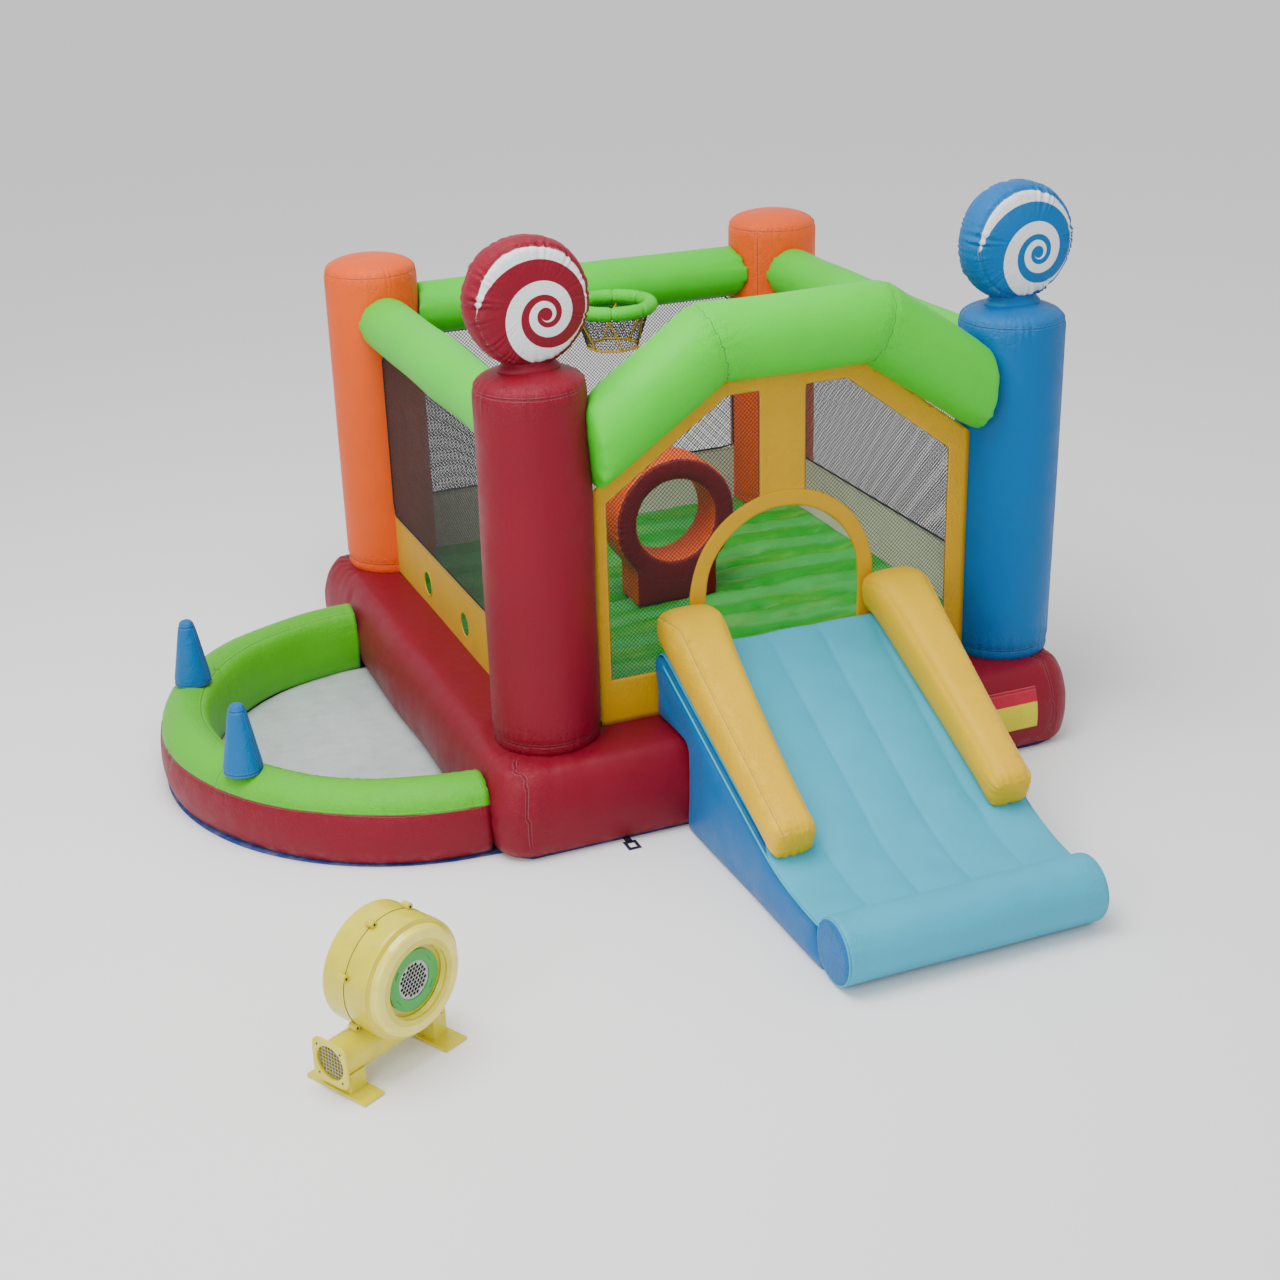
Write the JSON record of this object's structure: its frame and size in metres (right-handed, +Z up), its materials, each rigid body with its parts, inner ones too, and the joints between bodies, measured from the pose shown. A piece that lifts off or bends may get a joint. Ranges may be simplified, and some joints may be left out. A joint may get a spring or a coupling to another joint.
{
  "type": "inflatable bounce house",
  "caption": "Inflatable bounce house with corner posts, net walls, crawl-through ring, basket hoop, slide and half-round pool, with a separate fan blower.",
  "frame": {"origin": "centre of the whole set's outline, on the ground", "axes": "+Z up, -Y to the front, where the slide comes down; the pool is on the -X side"},
  "size_m": [3.427, 4.115, 2.162],
  "materials": {
    "red_fabric": "coated woven cloth",
    "blue_fabric": "coated woven cloth",
    "orange_fabric": "coated woven cloth",
    "green_fabric": "coated woven cloth",
    "yellow_fabric": "coated woven cloth",
    "light_blue_fabric": "coated woven cloth",
    "floor_fabric": "coated woven cloth",
    "cream_fabric": "coated woven cloth",
    "net_fabric": "coated woven cloth",
    "white_fabric": "coated woven cloth",
    "pool_floor_fabric": "coated woven cloth",
    "ground_fabric": "coated woven cloth",
    "maroon_fabric": "coated woven cloth",
    "inner_fabric": "coated woven cloth",
    "patch_yellow": "coated woven cloth",
    "strap_black": "coated woven cloth",
    "thread": "coated woven cloth",
    "blower_yellow": "moulded, slight gloss",
    "blower_green": "moulded, slight gloss",
    "black_plastic": "moulded, matte",
    "steel": "bare",
    "painted_steel": "painted",
    "zip_metal": "worn",
    "motor_metal": "bare casting"
  },
  "bodies": {
    "house": {"air_sleeve": "blue_fabric", "anchor_loops": "ground_fabric", "arch_left": "green_fabric", "arch_level": "green_fabric", "arch_right": "green_fabric", "band_back": "cream_fabric", "band_left": "yellow_fabric", "band_right": "cream_fabric", "base_back": "red_fabric", "base_front": "red_fabric", "base_left": "red_fabric", "base_right": "red_fabric", "doorway_arch": "yellow_fabric", "floor_baffles": "inner_fabric", "front_frame": "yellow_fabric", "ground_sheet": "ground_fabric", "hoop": "green_fabric", "hoop_net": "yellow_fabric", "jump_floor": "floor_fabric", "label_patch": "patch_yellow", "lollipop_left": "red_fabric", "lollipop_right": "blue_fabric", "net_back": "net_fabric", "net_front_left": "net_fabric", "net_front_right": "net_fabric", "net_left": "net_fabric", "net_right": "net_fabric", "pool_cones": "blue_fabric", "pool_floor": "pool_floor_fabric", "pool_ring": "green_fabric", "post_back_left": "orange_fabric", "post_back_right": "orange_fabric", "post_front_left": "red_fabric", "post_front_right": "blue_fabric", "rail_back": "green_fabric", "rail_left": "green_fabric", "rail_right": "green_fabric", "sleeve_tie": "strap_black", "slide_body": "blue_fabric", "slide_rail_left": "yellow_fabric", "slide_rail_right": "yellow_fabric", "slide_roll": "light_blue_fabric", "slide_surface": "light_blue_fabric", "tunnel_foot": "maroon_fabric", "tunnel_ring": "maroon_fabric", "zip": "strap_black"},
    "blower": {"blower_feet": "blower_yellow", "cord_gland": "black_plastic", "housing_back": "blower_yellow", "housing_front": "blower_yellow", "housing_screws": "painted_steel", "intake_guard": "blower_green", "intake_ring": "blower_green", "motor": "motor_metal", "outlet_guard": "painted_steel", "switch_frame": "black_plastic"},
    "fan_wheel": {"fan": "black_plastic", "fan_shaft": "steel"},
    "rocker": {"switch_rocker": "black_plastic"},
    "slider": {"zip_slider": "zip_metal"}
  },
  "joints": [
    {"name": "blower_lift", "type": "slide", "parent": "house", "child": "blower", "axis": [0, 0, 1], "range_m": [0, 0.4]},
    {"name": "fan_spin", "type": "hinge", "parent": "blower", "child": "fan_wheel", "pos_m": [-1.3835, -1.7075, 0.29], "axis": [-0.4695, 0.8829, 0], "continuous": true},
    {"name": "switch_tilt", "type": "hinge", "parent": "blower", "child": "rocker", "pos_m": [-1.3306, -1.57268, 0.33], "axis": [0.8829, 0.4695, 0], "range_deg": [-6, 6]},
    {"name": "zip_run", "type": "slide", "parent": "house", "child": "slider", "axis": [1, 0, 0], "range_m": [0, 0.32]}
  ]
}
